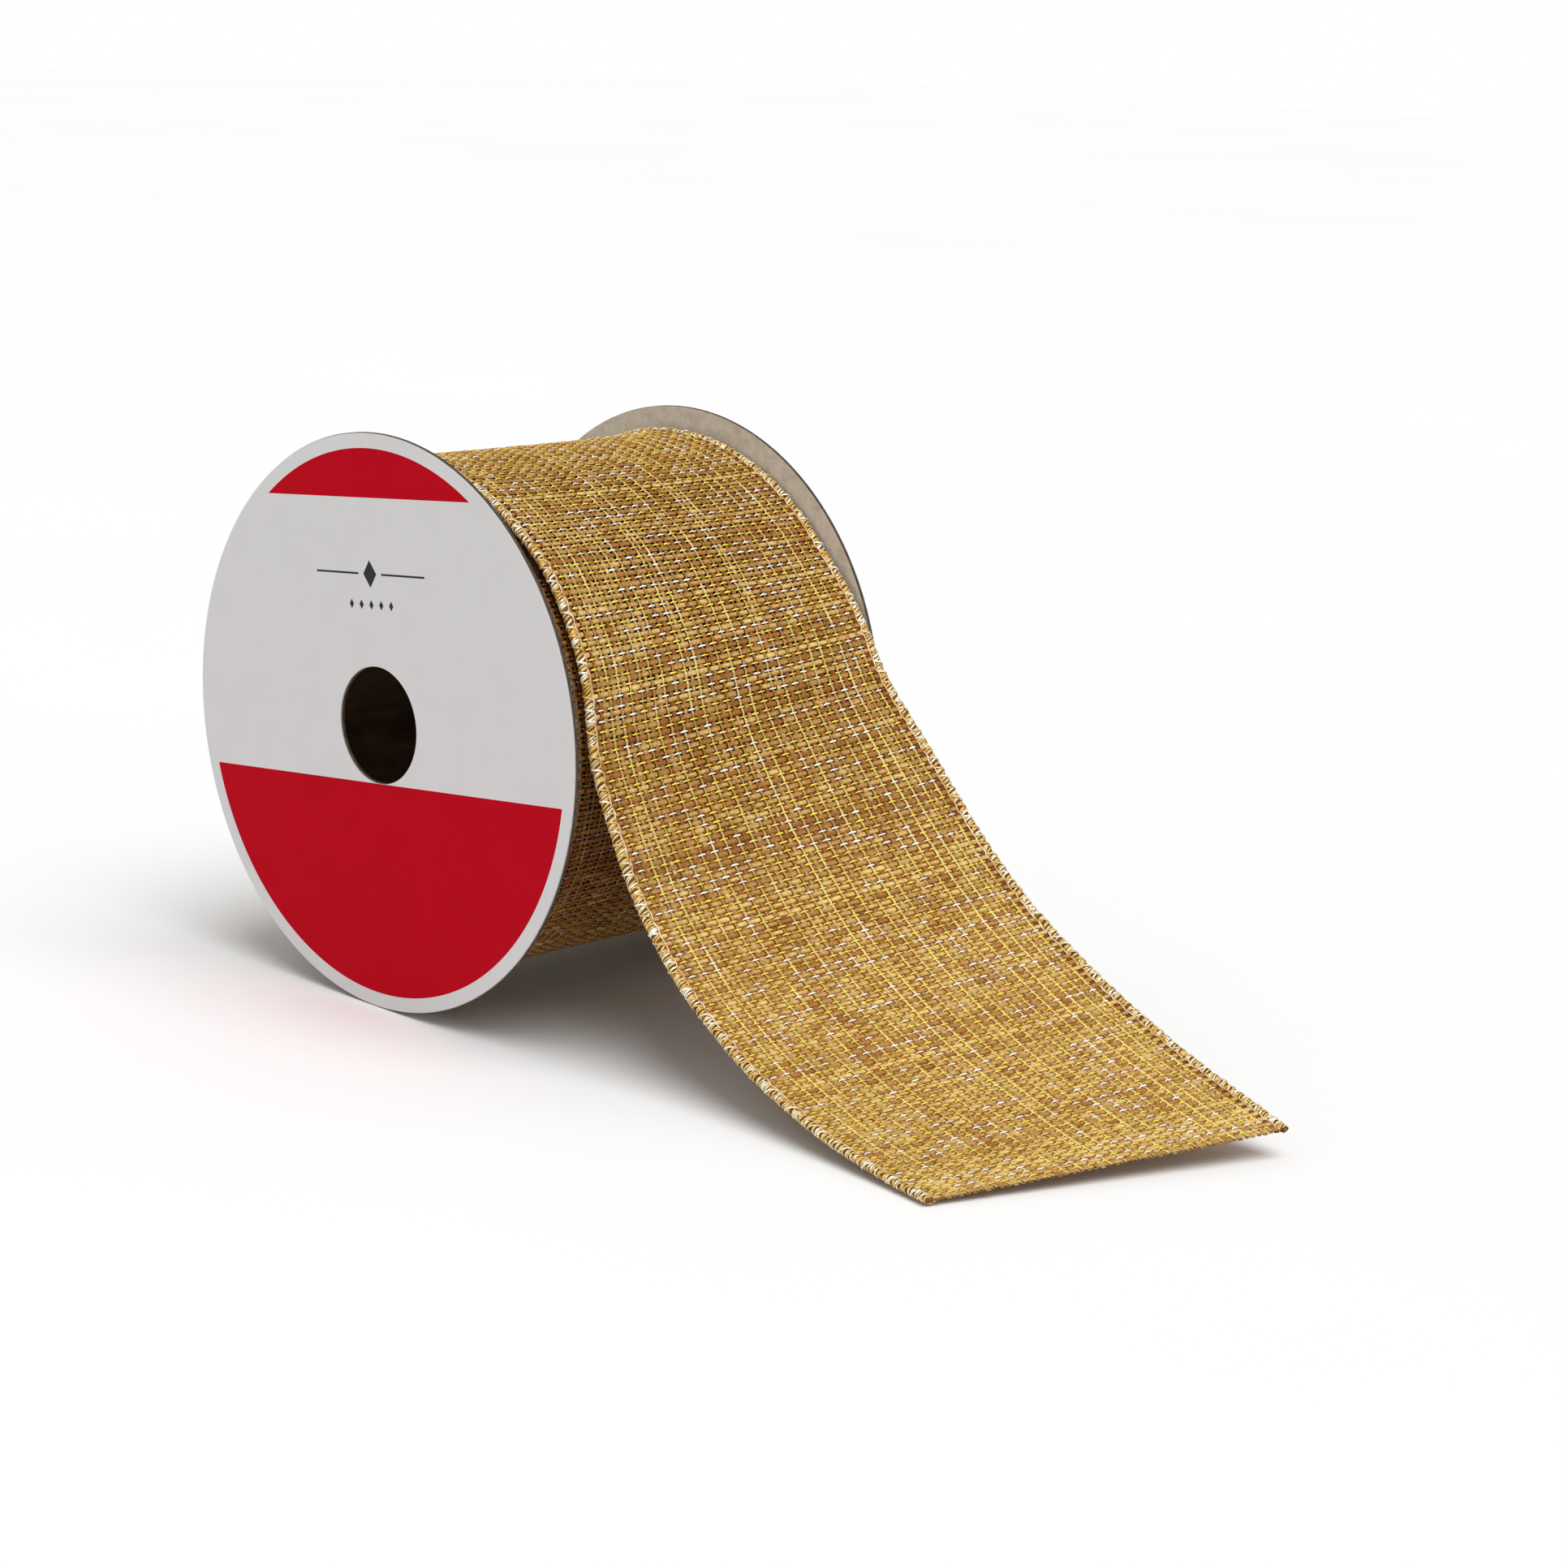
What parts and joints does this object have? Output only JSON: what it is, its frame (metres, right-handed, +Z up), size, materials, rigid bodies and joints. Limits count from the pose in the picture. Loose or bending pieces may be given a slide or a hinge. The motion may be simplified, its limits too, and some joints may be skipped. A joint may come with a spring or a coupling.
{
  "type": "ribbon spool",
  "caption": "Wide wired woven ribbon wound between two round paperboard flanges on a paperboard core, with a spindle hole and a loose ribbon end hanging off the roll.",
  "frame": {"origin": "on the table the spool stands on, under the middle of the whole object, with its tail", "axes": "+Y along the spool's axis from the front (printed) flange to the back flange, +Z up, +X towards the loose end"},
  "size_m": [0.1996, 0.0734, 0.0985],
  "materials": {
    "greyboard": "matt recycled paperboard",
    "printed_paper": "coated printed paper, satin",
    "core_paperboard": "matt kraft paperboard",
    "adhesive_tape": "satin",
    "woven_ribbon": "coarse plain weave with metallic picks",
    "overlock_hem": "metallic thread",
    "edge_wire": "drawn wire"
  },
  "bodies": {
    "ribbon_wrap": {"wrap_fabric": "woven_ribbon", "wrap_front_hem": "overlock_hem", "wrap_back_hem": "overlock_hem", "wrap_front_wire": "edge_wire", "wrap_back_wire": "edge_wire"},
    "spool": {"front_flange_board": "greyboard", "front_flange_label": "printed_paper", "back_flange_board": "greyboard", "back_flange_label": "printed_paper", "core_tube": "core_paperboard", "core_tape": "adhesive_tape", "roll_fabric": "woven_ribbon", "roll_front_hem": "overlock_hem", "roll_back_hem": "overlock_hem", "roll_front_wire": "edge_wire", "roll_back_wire": "edge_wire"},
    "tail_upper": {"tail_upper_fabric": "woven_ribbon", "tail_upper_front_hem": "overlock_hem", "tail_upper_back_hem": "overlock_hem", "tail_upper_front_wire": "edge_wire", "tail_upper_back_wire": "edge_wire"},
    "tail_lower": {"tail_lower_fabric": "woven_ribbon", "tail_lower_front_hem": "overlock_hem", "tail_lower_back_hem": "overlock_hem", "tail_lower_front_wire": "edge_wire", "tail_lower_back_wire": "edge_wire"}
  },
  "joints": [
    {"name": "spool_turn", "type": "hinge", "parent": "ribbon_wrap", "child": "spool", "pos_m": [-0.05058, 0.00105, 0.04925], "axis": [0, 1, 0], "continuous": true},
    {"name": "tail_lift", "type": "hinge", "parent": "ribbon_wrap", "child": "tail_upper", "pos_m": [-0.01612, 0.00355, 0.07995], "axis": [0, -1, 0], "range_deg": [0, 60]},
    {"name": "tail_curl", "type": "hinge", "parent": "tail_upper", "child": "tail_lower", "pos_m": [0.01992, 0.00122, 0.03041], "axis": [-0.3011, -0.9407, -0.1564], "range_deg": [0, 70]}
  ]
}
